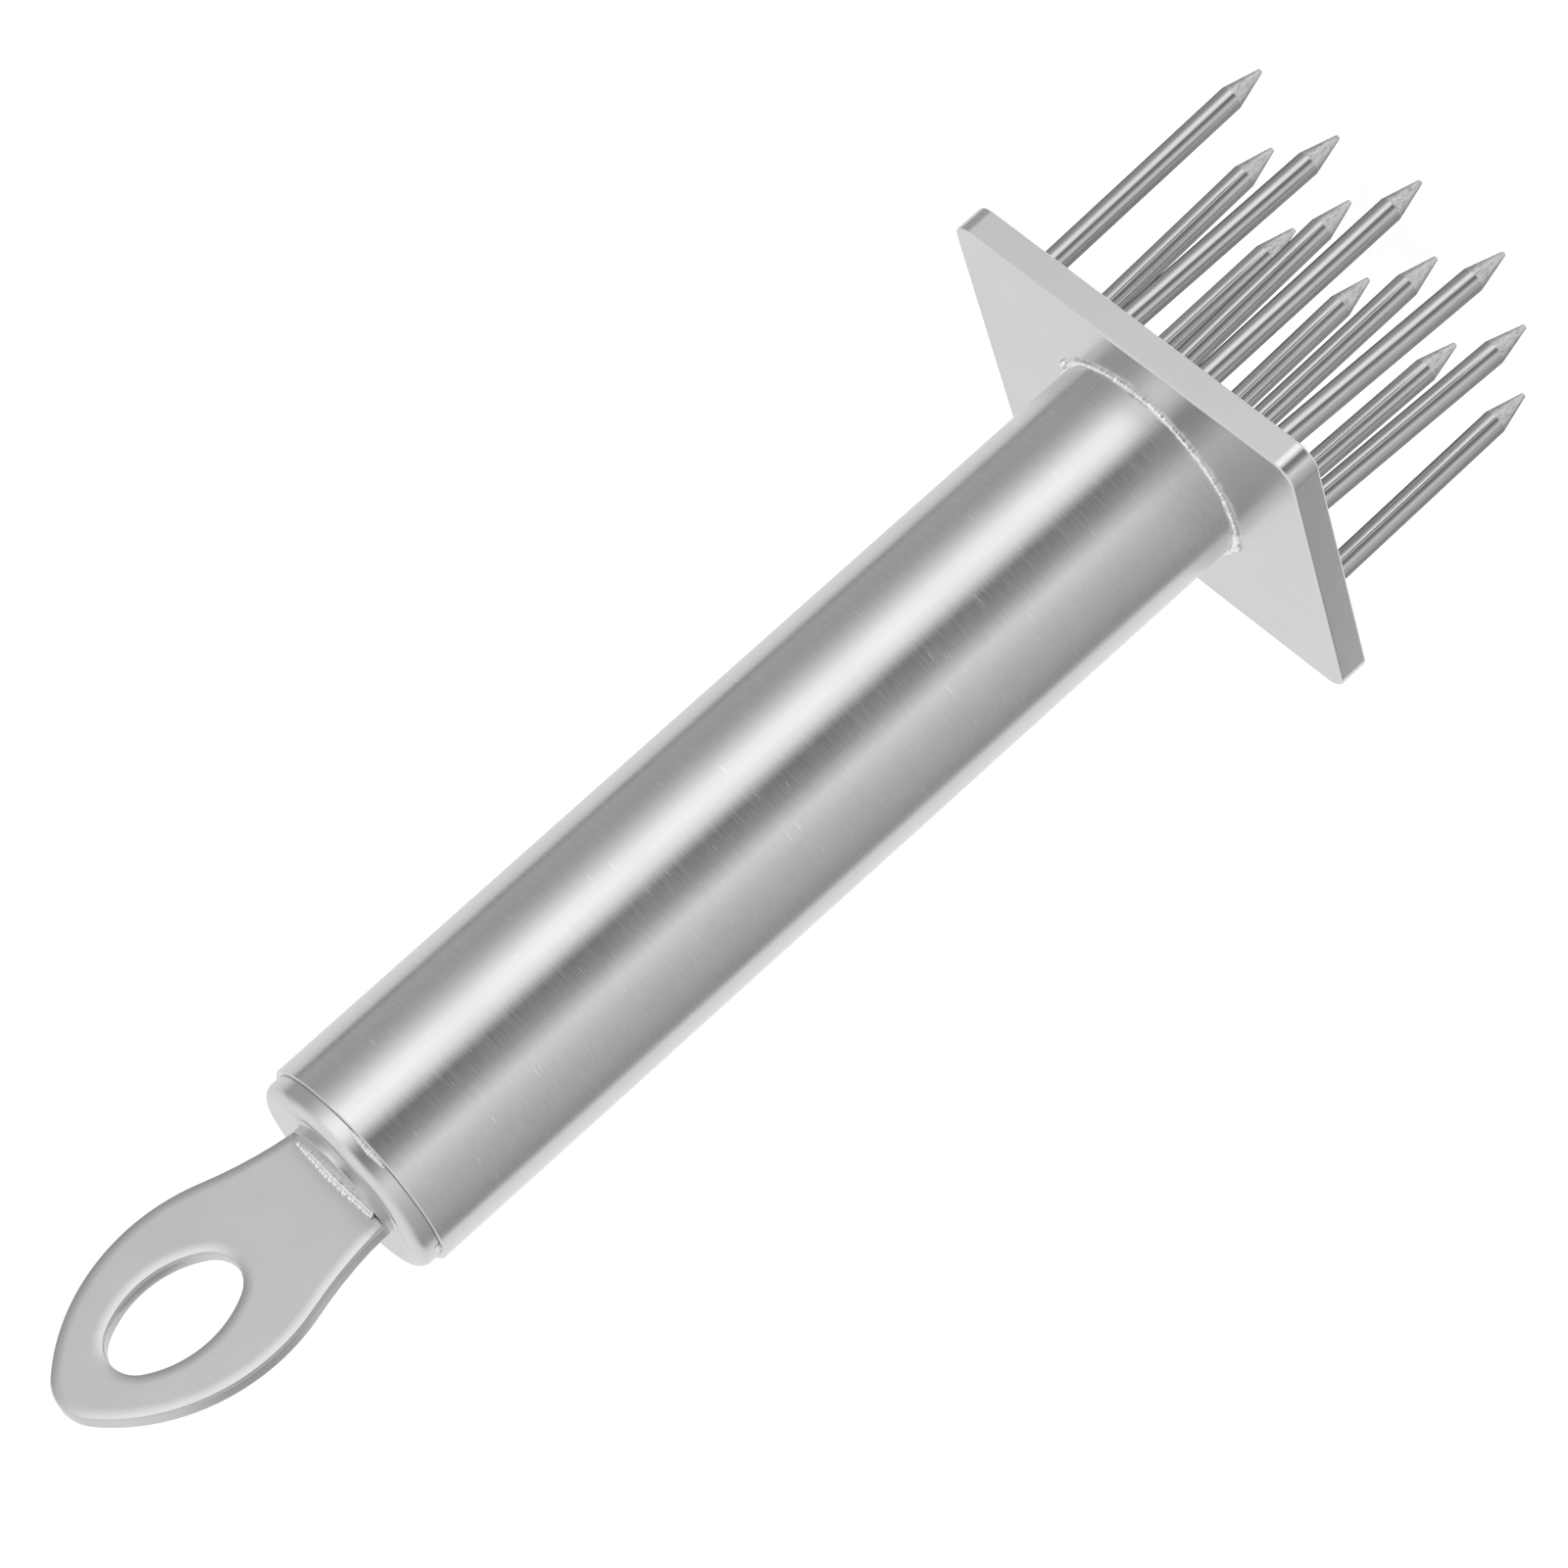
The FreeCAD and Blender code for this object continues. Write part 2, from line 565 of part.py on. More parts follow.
os.makedirs("parts", exist_ok=True)
for piece in pieces:
    piece.Shape.exportStep(f"parts/{piece.Label}.step")
    box = piece.Shape.optimalBoundingBox()
    print(f"{piece.Label:18} {piece.Shape.Volume:9.1f} mm3"
          f"  z {box.ZMin:7.2f} to {box.ZMax:7.2f}")
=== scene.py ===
import math

import bmesh
import bpy
from mathutils import Matrix, Vector, noise


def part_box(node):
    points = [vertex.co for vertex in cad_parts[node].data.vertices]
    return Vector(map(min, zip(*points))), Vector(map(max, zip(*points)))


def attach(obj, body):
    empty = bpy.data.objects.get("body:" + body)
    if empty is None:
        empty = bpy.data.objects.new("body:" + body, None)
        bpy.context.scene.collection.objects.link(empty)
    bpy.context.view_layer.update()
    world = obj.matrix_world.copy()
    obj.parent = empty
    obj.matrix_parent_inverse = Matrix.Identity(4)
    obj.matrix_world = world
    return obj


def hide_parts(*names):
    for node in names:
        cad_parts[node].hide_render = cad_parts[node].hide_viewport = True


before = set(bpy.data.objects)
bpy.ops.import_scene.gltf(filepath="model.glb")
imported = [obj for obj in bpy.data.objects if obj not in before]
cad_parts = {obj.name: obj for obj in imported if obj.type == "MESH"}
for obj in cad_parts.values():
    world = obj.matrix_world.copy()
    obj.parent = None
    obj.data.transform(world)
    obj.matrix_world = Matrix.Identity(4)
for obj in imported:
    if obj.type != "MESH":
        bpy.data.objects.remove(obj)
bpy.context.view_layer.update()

# A needle meat tenderizer in stainless steel, from the plate outwards: plate,
# needles, handle tube, its weld, end cap, tack welds, hanging loop, its welds.
MM = 0.001


# --- Base plate ---------------------------------------------------------------
# A rectangle sheared from 3.6 mm stainless sheet, its corners and edges eased on
# a belt and its faces satin ground along the long side. It carries every needle
# below and the handle above, and half mirrors the tube that stands on it.

PLATE_CORNER = 2.6 * MM
PLATE_EDGE = 0.32 * MM
FLAT_ENOUGH = 0.7    # a face whose normal rises less than this belongs to the edge
SAME_POINT = 0.002 * MM


def linear(colour):
    """The linear RGBA that sockets take, from an sRGB hex colour."""
    shares = [int(colour[at:at + 2], 16) / 255 for at in (1, 3, 5)]
    return [s / 12.92 if s <= 0.04045 else ((s + 0.055) / 1.055) ** 2.4 for s in shares] + [1]


def cells(size_mm):
    """The texture scale that makes one cell of a pattern this many millimetres."""
    return 1 / (size_mm * MM)


def add(tree, kind, inputs=None, **settings):
    """Adds a node with its settings. An input is a value or another node's output."""
    node = tree.nodes.new(kind)
    for name, value in settings.items():
        setattr(node, name, value)
    for name, value in (inputs or {}).items():
        if isinstance(value, bpy.types.NodeSocket):
            tree.links.new(value, node.inputs[name])
        else:
            node.inputs[name].default_value = value
    return node


def new_material(name):
    """A material with only its output node left, and its tree."""
    material = bpy.data.materials.new(name)
    material.use_nodes = True
    tree = material.node_tree
    tree.nodes.clear()
    return material, tree


def finished(name, bm, materials, nodes, crease=30):
    """Closes a mesh, points its faces outwards and ties the piece to the frame."""
    bmesh.ops.remove_doubles(bm, verts=bm.verts, dist=SAME_POINT)
    bmesh.ops.recalc_face_normals(bm, faces=bm.faces)
    for face in bm.faces:
        face.smooth = True
    mesh = bpy.data.meshes.new(name)
    bm.to_mesh(mesh)
    bm.free()
    mesh.set_sharp_from_angle(angle=math.radians(crease))
    for material in materials:
        mesh.materials.append(material)
    piece = bpy.data.objects.new(name, mesh)
    bpy.context.scene.collection.objects.link(piece)
    even = piece.modifiers.new("even_shading", "WEIGHTED_NORMAL")
    even.keep_sharp = True
    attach(piece, "root")
    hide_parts(*nodes)
    return piece


def ease(bm, edges, size, segments):
    """Rounds edges with a circular section."""
    bmesh.ops.bevel(bm, geom=edges, offset=size, offset_type="OFFSET", segments=segments,
                    profile=0.5, affect="EDGES", material=-1, clamp_overlap=True)


def sharp_edges(bm, degrees):
    """The edges at which two faces meet more sharply than this."""
    return [edge for edge in bm.edges
            if len(edge.link_faces) == 2 and edge.calc_face_angle() > math.radians(degrees)]


def ground_plate_steel(name, smoothest, roughest):
    """Stainless sheet ground satin: fine straight scratches, so soft half reflections."""
    material, tree = new_material(name)
    place = add(tree, "ShaderNodeTexCoord")
    # Belt scratches lie along X: 9 mm long and, drawn coarse to show, 0.3 mm apart.
    along_belt = add(tree, "ShaderNodeMapping", {
        "Vector": place.outputs["Object"], "Scale": (cells(9), cells(0.3), cells(0.3))})
    scratches = add(tree, "ShaderNodeTexNoise", {
        "Vector": along_belt.outputs["Vector"], "Scale": 1.0, "Detail": 3.0, "Roughness": 0.6})
    clouds = add(tree, "ShaderNodeTexNoise", {
        "Vector": place.outputs["Object"], "Scale": cells(11), "Detail": 2.0})
    tone = add(tree, "ShaderNodeMix", {
        "Factor": clouds.outputs["Fac"], "A": linear("#CFCFCF"), "B": linear("#D9D9D9")},
        data_type="RGBA")
    sheen = add(tree, "ShaderNodeMapRange", {
        "Value": scratches.outputs["Fac"], "From Min": 0.3, "From Max": 0.7,
        "To Min": smoothest, "To Max": roughest})
    grain = add(tree, "ShaderNodeBump", {
        "Height": scratches.outputs["Fac"], "Strength": 0.35, "Distance": 0.006 * MM})
    steel = add(tree, "ShaderNodeBsdfPrincipled", {
        "Base Color": tone.outputs["Result"], "Metallic": 1.0,
        "Roughness": sheen.outputs["Result"], "Normal": grain.outputs["Normal"]})
    add(tree, "ShaderNodeOutputMaterial", {"Surface": steel.outputs["BSDF"]})
    return material


def base_plate():
    low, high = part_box("base_plate")
    bm = bmesh.new()
    bmesh.ops.create_cube(bm, size=1)
    bmesh.ops.scale(bm, vec=high - low, verts=bm.verts)
    bmesh.ops.translate(bm, vec=(low + high) / 2, verts=bm.verts)
    uprights = [edge for edge in bm.edges
                if abs(edge.verts[0].co.z - edge.verts[1].co.z) > (high.z - low.z) / 2]
    ease(bm, uprights, PLATE_CORNER, segments=12)
    ease(bm, sharp_edges(bm, degrees=60), PLATE_EDGE, segments=4)
    bm.normal_update()
    for face in bm.faces:
        face.material_index = int(abs(face.normal.z) < FLAT_ENOUGH)
    face_steel = ground_plate_steel("stainless_plate_satin_ground", 0.2, 0.27)
    edge_steel = ground_plate_steel("stainless_plate_edge_belt_eased", 0.1, 0.16)
    finished("plate_ground", bm, [face_steel, edge_steel], ["base_plate"])


base_plate()


# --- Needles ------------------------------------------------------------------
# Twelve lengths of 2.8 mm hard drawn stainless wire, each ground to a cone on a
# wheel and set in a blind seat in the plate. The shanks keep the bright drawn
# skin; the points are duller. Set by hand, no two are quite equal or upright.

NEEDLE_RADIUS = 1.4 * MM
NEEDLE_POINT = 4.4 * MM
NEEDLE_TIP = 0.275 * MM
NEEDLE_TIP_ROUND = 0.1 * MM
STRAY_BEARING = math.radians(148.2)
# For each row of needles, column by column: how far the point strays towards
# STRAY_BEARING, and how much shorter than the longest the needle is, both in mm.
NEEDLES_AS_SET = (
    ((0.45, 1.10), (0.85, 0.75), (-0.70, 0.56), (0.36, 0.87)),
    ((1.13, 1.02), (1.16, 0.68), (0.45, 0.0), (-1.18, 0.0)),
    ((0.75, 0.41), (-0.19, 1.17), (0.35, 0.0), (-1.06, 0.73)),
)


def bright_drawn_wire_steel():
    """Drawn wire: a near mirror across the wire, drawn out in streaks along it."""
    material, tree = new_material("stainless_wire_bright_drawn")
    place = add(tree, "ShaderNodeTexCoord")
    # Die lines run along Z: 14 mm long and, drawn coarse to show, 0.25 mm apart.
    along_wire = add(tree, "ShaderNodeMapping", {
        "Vector": place.outputs["Object"], "Scale": (cells(0.25), cells(0.25), cells(14))})
    die_lines = add(tree, "ShaderNodeTexNoise", {
        "Vector": along_wire.outputs["Vector"], "Scale": 1.0, "Detail": 2.0})
    tone = add(tree, "ShaderNodeMix", {
        "Factor": die_lines.outputs["Fac"], "A": linear("#B2B2B2"), "B": linear("#D2D2D2")},
        data_type="RGBA")
    grain = add(tree, "ShaderNodeBump", {
        "Height": die_lines.outputs["Fac"], "Strength": 0.3, "Distance": 0.006 * MM})
    steel = add(tree, "ShaderNodeBsdfPrincipled", {
        "Base Color": tone.outputs["Result"], "Metallic": 1.0, "Roughness": 0.1,
        "Specular Tint": linear("#303030"), "Normal": grain.outputs["Normal"]})
    add(tree, "ShaderNodeOutputMaterial", {"Surface": steel.outputs["BSDF"]})
    return material


def wheel_ground_point_steel():
    """Wheel-ground steel: scratches down the cone scatter the light to a dull grey."""
    material, tree = new_material("stainless_point_wheel_ground")
    place = add(tree, "ShaderNodeTexCoord")
    # Wheel marks run down the cone: 4 mm long and, drawn coarse to show, 0.22 mm apart.
    down_cone = add(tree, "ShaderNodeMapping", {
        "Vector": place.outputs["Object"], "Scale": (cells(0.22), cells(0.22), cells(4))})
    marks = add(tree, "ShaderNodeTexNoise", {
        "Vector": down_cone.outputs["Vector"], "Scale": 1.0, "Detail": 3.0, "Roughness": 0.65})
    depth = add(tree, "ShaderNodeMapRange", {
        "Value": marks.outputs["Fac"], "From Min": 0.34, "From Max": 0.5})
    tone = add(tree, "ShaderNodeMix", {
        "Factor": depth.outputs["Result"], "A": linear("#A6A6A6"), "B": linear("#CECECE")},
        data_type="RGBA")
    grain = add(tree, "ShaderNodeBump", {
        "Height": depth.outputs["Result"], "Strength": 0.25, "Distance": 0.008 * MM})
    steel = add(tree, "ShaderNodeBsdfPrincipled", {
        "Base Color": tone.outputs["Result"], "Metallic": 1.0, "Roughness": 0.4,
        "Specular Tint": linear("#303030"), "Normal": grain.outputs["Normal"]})
    add(tree, "ShaderNodeOutputMaterial", {"Surface": steel.outputs["BSDF"]})
    return material


def spun(bm, profile, steps, centre=(0, 0), start=0.0, turn=math.tau):
    """Turns a chain of (radius, height) points about an upright axis. Both in metres."""
    verts = [bm.verts.new((radius, 0, height)) for radius, height in profile]
    edges = [bm.edges.new(pair) for pair in zip(verts, verts[1:])]
    whole = turn == math.tau
    bmesh.ops.rotate(bm, verts=verts, matrix=Matrix.Rotation(start, 3, "Z"))
    made = bmesh.ops.spin(bm, geom=verts + edges, cent=(0, 0, 0), axis=(0, 0, 1), angle=turn,
                          steps=steps, use_merge=whole, use_duplicate=False)
    bmesh.ops.translate(bm, vec=(*centre, 0), verts=bm.verts)
    return made


def arc(centre, radius, start, end, steps):
    """Points of an arc in a (radius, height) profile, its directions in degrees."""
    turns = [math.radians(start + (end - start) * step / steps) for step in range(steps + 1)]
    return [(centre[0] + radius * math.cos(turn), centre[1] + radius * math.sin(turn))
            for turn in turns]


def needles():
    shank = bright_drawn_wire_steel()
    point = wheel_ground_point_steel()
    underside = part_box("base_plate")[0].z
    lean_axis = Vector((math.sin(STRAY_BEARING), -math.cos(STRAY_BEARING), 0))
    slope = math.degrees(math.atan2(NEEDLE_RADIUS - NEEDLE_TIP, NEEDLE_POINT))
    for row, needles_in_row in enumerate(NEEDLES_AS_SET, start=1):
        for column, (stray, short) in enumerate(needles_in_row, start=1):
            name = f"needle_row{row}_{column}"
            low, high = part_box(name)
            centre = (low + high) / 2
            foot = low.z + short * MM
            shoulder = foot + NEEDLE_POINT
            tip = (NEEDLE_TIP - NEEDLE_TIP_ROUND, foot + NEEDLE_TIP_ROUND)
            profile = [(0, foot), *arc(tip, NEEDLE_TIP_ROUND, -90, -slope, 4),
                       (NEEDLE_RADIUS, shoulder), (NEEDLE_RADIUS, high.z), (0, high.z)]
            bm = bmesh.new()
            spun(bm, profile, steps=48, centre=centre.xy)
            for face in bm.faces:
                face.material_index = int(face.calc_center_median().z < shoulder)
            lean = Matrix.Rotation(stray * MM / (underside - foot), 3, lean_axis)
            bmesh.ops.rotate(bm, verts=bm.verts, cent=(*centre.xy, underside), matrix=lean)
            finished(name.replace("needle", "pin"), bm, [shank, point], [name],
                     crease=12)


needles()


# --- Handle tube --------------------------------------------------------------
# 25 mm stainless tube with a 1 mm wall, cut to length and brushed in a lathe.
# Its hair lines run round it, so reflections stay crisp round the tube and are
# drawn out into long stripes along it.

TUBE_WALL = 1.0 * MM
TUBE_END = 0.2 * MM


def lathe_brushed_tube_steel():
    """Brushed steel whose hair lines ring the tube: stripes of light along the handle."""
    material, tree = new_material("stainless_tube_lathe_brushed")
    place = add(tree, "ShaderNodeTexCoord")
    # Hair lines ring the tube: 2.5 mm long and, drawn coarse to show, 0.25 mm apart.
    round_tube = add(tree, "ShaderNodeMapping", {
        "Vector": place.outputs["Object"], "Scale": (cells(2.5), cells(2.5), cells(0.25))})
    hair_lines = add(tree, "ShaderNodeTexNoise", {
        "Vector": round_tube.outputs["Vector"], "Scale": 1.0, "Detail": 3.0, "Roughness": 0.55})
    handling = add(tree, "ShaderNodeTexNoise", {
        "Vector": place.outputs["Object"], "Scale": cells(14), "Detail": 2.0})
    tone = add(tree, "ShaderNodeMix", {
        "Factor": hair_lines.outputs["Fac"], "A": linear("#CBCBCB"), "B": linear("#D8D8D8")},
        data_type="RGBA")
    wear = add(tree, "ShaderNodeMath", {
        0: hair_lines.outputs["Fac"], 1: handling.outputs["Fac"]}, operation="ADD")
    sheen = add(tree, "ShaderNodeMapRange", {
        "Value": wear.outputs["Value"], "From Min": 0.7, "From Max": 1.3,
        "To Min": 0.16, "To Max": 0.26})
    # Here and there a scratch across the stripes, 3 mm long and drawn 0.15 mm wide.
    across = add(tree, "ShaderNodeMapping", {
        "Vector": place.outputs["Object"], "Scale": (cells(3), cells(3), cells(0.15)),
        "Location": (5, 3, 0)})
    nicks = add(tree, "ShaderNodeTexNoise", {
        "Vector": across.outputs["Vector"], "Scale": 1.0, "Detail": 1.0})
    nicked = add(tree, "ShaderNodeMapRange", {
        "Value": nicks.outputs["Fac"], "From Min": 0.75, "From Max": 0.8})
    bared = add(tree, "ShaderNodeMix", {
        "Factor": nicked.outputs["Result"], "A": tone.outputs["Result"],
        "B": linear("#FFFFFF")}, data_type="RGBA")
    worn = add(tree, "ShaderNodeMath", {
        0: nicked.outputs["Result"], 1: 0.14, 2: sheen.outputs["Result"]},
        operation="MULTIPLY_ADD")
    grain = add(tree, "ShaderNodeBump", {
        "Height": hair_lines.outputs["Fac"], "Strength": 0.3, "Distance": 0.005 * MM})
    round_axis = add(tree, "ShaderNodeTangent", direction_type="RADIAL", axis="Z")
    steel = add(tree, "ShaderNodeBsdfPrincipled", {
        "Base Color": bared.outputs["Result"], "Metallic": 1.0,
        "Roughness": worn.outputs["Value"], "Normal": grain.outputs["Normal"],
        "Tangent": round_axis.outputs["Tangent"],
        "Anisotropic": 1.0, "Anisotropic Rotation": 0.25})
    add(tree, "ShaderNodeOutputMaterial", {"Surface": steel.outputs["BSDF"]})
    return material


def handle_tube():
    low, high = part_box("handle_tube")
    outer = high.x
    bore = outer - TUBE_WALL
    profile = [(bore, low.z), (outer, low.z),
               *arc((outer - TUBE_END, high.z - TUBE_END), TUBE_END, 0, 90, 4),
               (bore, high.z), (bore, low.z)]
    bm = bmesh.new()
    spun(bm, profile, steps=192)
    finished("tube_brushed", bm, [lathe_brushed_tube_steel()], ["handle_tube"])


handle_tube()


# --- Weld at the foot of the tube ---------------------------------------------
# One TIG pass round the tube on the plate: a thin bright bead of overlapping
# ripples, uneven where the torch paused. It is left as welded.

PLATE_BEAD = 0.37 * MM
BEAD_AWAY = 0.08 * MM
BEAD_RISE = 0.05 * MM
RIPPLE = 0.55 * MM
RIPPLE_DEPTH = 0.12
RIPPLE_MEAN = 0.6    # so that a ripple thickens a bead as much as it thins it
STEPS_PER_RIPPLE = 7
FEWEST_STEPS = 24
BEAD_END = 1e-4
# Shares by which a bead strays and swells, each with the length over which it changes.
WANDER, WANDER_LENGTH = 0.7, 1.2 * MM
SLOW_SWELL, SLOW_LENGTH = 0.3, 3 * MM
LUMPS, LUMP_LENGTH = 0.16, 0.6 * MM
# Where the torch went over it again: bearing and length in degrees, then in mm the
# distance from the tube, the radius, and the pitch and depth of the ripples.
PLATE_REPAIRS = ((132, 36, 0.2, 0.52, 1.6, 0.1), (147, 5, 0.55, 0.5, 0.5, 0.4),
                 (86, 30, 0.12, 0.44, 0.36, 0.42), (-20, 50, 0.22, 0.52, 1.8, 0.08),
                 (-21, 5, 0.6, 0.45, 0.5, 0.4), (250, 60, 0.15, 0.46, 0.5, 0.3))


def bright_weld_steel():
    """Fused steel: smooth, glassy ripples, here and there dulled by the heat."""
    material, tree = new_material("stainless_weld_bright")
    place = add(tree, "ShaderNodeTexCoord")
    # The skin of the bead is puckered at about 0.4 mm.
    pucker = add(tree, "ShaderNodeTexNoise", {
        "Vector": place.outputs["Object"], "Scale": cells(0.4), "Detail": 2.0})
    heat = add(tree, "ShaderNodeTexNoise", {
        "Vector": place.outputs["Object"], "Scale": cells(2.5), "Detail": 2.0})
    tone = add(tree, "ShaderNodeMix", {
        "Factor": pucker.outputs["Fac"], "A": linear("#DCDCDC"), "B": linear("#FAFAFA")},
        data_type="RGBA")
    sheen = add(tree, "ShaderNodeMapRange", {
        "Value": heat.outputs["Fac"], "From Min": 0.35, "From Max": 0.65,
        "To Min": 0.12, "To Max": 0.3})
    skin = add(tree, "ShaderNodeBump", {
        "Height": pucker.outputs["Fac"], "Strength": 0.5, "Distance": 0.03 * MM})
    steel = add(tree, "ShaderNodeBsdfPrincipled", {
        "Base Color": tone.outputs["Result"], "Metallic": 1.0,
        "Roughness": sheen.outputs["Result"], "Normal": skin.outputs["Normal"]})
    add(tree, "ShaderNodeOutputMaterial", {"Surface": steel.outputs["BSDF"]})
    return material


def swell(point, along, pitch, depth, seed):
    """A bead's thickness at a place, as a share: torch ripples and slow unevenness."""
    wander = WANDER * noise.noise(Vector((along / WANDER_LENGTH, seed, 7)))
    ripple = depth * (abs(math.sin(math.pi * (along / pitch + wander))) - RIPPLE_MEAN)
    slow = SLOW_SWELL * noise.noise(Vector((along / SLOW_LENGTH, seed, 0)))
    lump = LUMPS * noise.noise(point / LUMP_LENGTH)
    return 1 + ripple + slow + lump


def ring_bead(bm, radius, height, size, pitch, depth, start=0.0, turn=math.tau, seed=0.0):
    """A weld bead on a circle. A bead that doesn't go all the way round has thin ends."""
    steps = max(FEWEST_STEPS, round(radius * turn / (pitch / STEPS_PER_RIPPLE)))
    before = set(bm.verts)
    section = arc((radius, height), size, 0, 360, steps=12)[:-1]
    spun(bm, section + section[:1], steps, start=start, turn=turn)
    for vert in set(bm.verts) - before:
        bearing = math.atan2(vert.co.y, vert.co.x)
        share = ((bearing - start) % math.tau) / turn
        share = share if BEAD_END < share < 1 - BEAD_END else 0.0    # ends close to a point
        core = Vector((radius * math.cos(bearing), radius * math.sin(bearing), height))
        taper = 1.0 if turn == math.tau else math.sqrt(max(0.0, math.sin(math.pi * share)))
        thick = swell(vert.co, share * turn * radius, pitch, depth, seed)
        vert.co = core + (vert.co - core) * thick * taper


weld_steel = bright_weld_steel()


def plate_weld():
    tube_low, tube_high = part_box("handle_tube")
    bm = bmesh.new()
    height = tube_low.z + BEAD_RISE
    ring_bead(bm, tube_high.x + BEAD_AWAY, height, PLATE_BEAD, RIPPLE, RIPPLE_DEPTH)
    for seed, (bearing, length, away, size, pitch, depth) in enumerate(PLATE_REPAIRS, start=31):
        ring_bead(bm, tube_high.x + away * MM, height, size * MM, pitch * MM, depth,
                  math.radians(bearing - length / 2), math.radians(length), seed)
    finished("bead_plate", bm, [weld_steel], ["plate_weld"])


plate_weld()


# --- End cap ------------------------------------------------------------------
# A cup pressed from 1 mm sheet and pushed into the tube: a rounded rim that
# stands just inside the tube's edge, a shallow dish, and a flat boss in it that
# carries the loop. Buffed after pressing, so it is smoother than the tube.

CAP_RADIUS = 11.9 * MM
CAP_WALL = 1.0 * MM
CAP_TUCK = 0.1 * MM
RIM_RISE = 2.5 * MM
RIM_ROUND = 1.3 * MM
CREST_RADIUS = 10.6 * MM
CREST_ROUND = 1.2 * MM
DISH_RISE = 1.66 * MM
DISH_SLOPE = 15
BOSS_RADIUS = 6.95 * MM
BOSS_RISE = 2.85 * MM
BOSS_ROUND = 0.08 * MM
FOOT_ROUND = 0.3 * MM


def buffed_cap_steel():
    """Pressed sheet buffed on a mop: smooth, with a soft gloss and no clear lines."""
    material, tree = new_material("stainless_cap_buffed")
    place = add(tree, "ShaderNodeTexCoord")
    # The mop leaves faint rings, drawn coarse to show at 0.3 mm.
    mop = add(tree, "ShaderNodeTexNoise", {
        "Vector": place.outputs["Object"], "Scale": cells(0.3), "Detail": 2.0})
    clouds = add(tree, "ShaderNodeTexNoise", {
        "Vector": place.outputs["Object"], "Scale": cells(5), "Detail": 2.0})
    tone = add(tree, "ShaderNodeMix", {
        "Factor": clouds.outputs["Fac"], "A": linear("#CCCCCC"), "B": linear("#D8D8D8")},
        data_type="RGBA")
    grain = add(tree, "ShaderNodeBump", {
        "Height": mop.outputs["Fac"], "Strength": 0.3, "Distance": 0.006 * MM})
    steel = add(tree, "ShaderNodeBsdfPrincipled", {
        "Base Color": tone.outputs["Result"], "Metallic": 1.0, "Roughness": 0.23,
        "Normal": grain.outputs["Normal"]})
    add(tree, "ShaderNodeOutputMaterial", {"Surface": steel.outputs["BSDF"]})
    return material


def end_cap():
    low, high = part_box("end_cap")
    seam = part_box("handle_tube")[1].z
    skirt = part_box("handle_tube")[1].x - TUBE_WALL
    bore = skirt - CAP_WALL
    crest = seam + RIM_RISE
    boss = seam + BOSS_RISE
    profile = [
        (bore, low.z), (skirt, low.z), (skirt, seam - CAP_TUCK),
        *arc((CAP_RADIUS - CAP_TUCK, seam + CAP_TUCK), CAP_TUCK, -90, 0, 4),
        *arc((CAP_RADIUS - RIM_ROUND, crest - RIM_ROUND), RIM_ROUND, 0, 90, 10),
        *arc((CREST_RADIUS, crest - CREST_ROUND), CREST_ROUND, 90, 90 + DISH_SLOPE, 5),
        *arc((BOSS_RADIUS + FOOT_ROUND, seam + DISH_RISE + FOOT_ROUND), FOOT_ROUND,
             270 + DISH_SLOPE, 180, 6),
        *arc((BOSS_RADIUS - BOSS_ROUND, boss - BOSS_ROUND), BOSS_ROUND, 0, 90, 6),
        (0, boss), (0, seam + DISH_RISE - CAP_WALL), (bore, seam + DISH_RISE - CAP_WALL),
        (bore, low.z)]
    bm = bmesh.new()
    spun(bm, profile, steps=160)
    finished("cap_pressed", bm, [buffed_cap_steel()], ["end_cap"])


end_cap()


# --- Tack welds on the cap ----------------------------------------------------
# The cap is held by short tacks in the step between its rim and the tube's edge:
# two runs of a few ripples and two single spots, left as welded.

TACK_BEAD = 0.42 * MM
TACK_TUCK = 0.05 * MM
TACK_RISE = 0.15 * MM
TACK_RIPPLE = 0.3 * MM
TACK_DEPTH = 0.3
TACKS = ((62, 26), (242, 26), (-12, 4), (168, 4))    # bearing and length, in degrees


def cap_tacks():
    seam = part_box("handle_tube")[1].z
    bm = bmesh.new()
    for seed, (bearing, length) in enumerate(TACKS, start=1):
        start = math.radians(bearing - length / 2)
        ring_bead(bm, CAP_RADIUS - TACK_TUCK, seam + TACK_RISE, TACK_BEAD, TACK_RIPPLE,
                  TACK_DEPTH, start, math.radians(length), seed)
    finished("tacks_cap", bm, [weld_steel], ["cap_tacks"])


cap_tacks()


# --- Hanging loop -------------------------------------------------------------
# A leaf punched from 2 mm sheet with an oval eye, then tumbled: flat satin faces
# and edges worn round, which catch a bright line. It stands on the boss, leaning
# a little towards -X, as it was welded.

LOOP_THICK = 2.0 * MM
LOOP_FOOT = 15.5 * MM
LOOP_WIDE = 22.5 * MM
LOOP_WAIST = 17.197 * MM
LOOP_SIDE = 21.6 * MM
LOOP_NECK = 47.0 * MM
LOOP_NOSE = 5.3 * MM
LOOP_LEAN = math.radians(3.15)
EYE_WIDE = 10.05 * MM
EYE_TALL = 15.8 * MM
EYE_END = 3.8 * MM
EYE_RISE = 20.7 * MM
LOOP_EDGE = 0.3 * MM
FOOT_SINK = 0.2 * MM
# How the tumbled faces fall away to their edges: rings of width, in mm, and slope, in
# degrees, inwards from the edge.
LOOP_FALL = ((0.4, 13), (0.2, 9.5), (0.2, 6.5), (0.25, 4), (0.3, 1.8))
FOOT_BAND = 0.5 * MM
FOOT_STEPS = 7
NECK_STEPS = 5
SIDE_STEPS = 36
NOSE_STEPS = 14


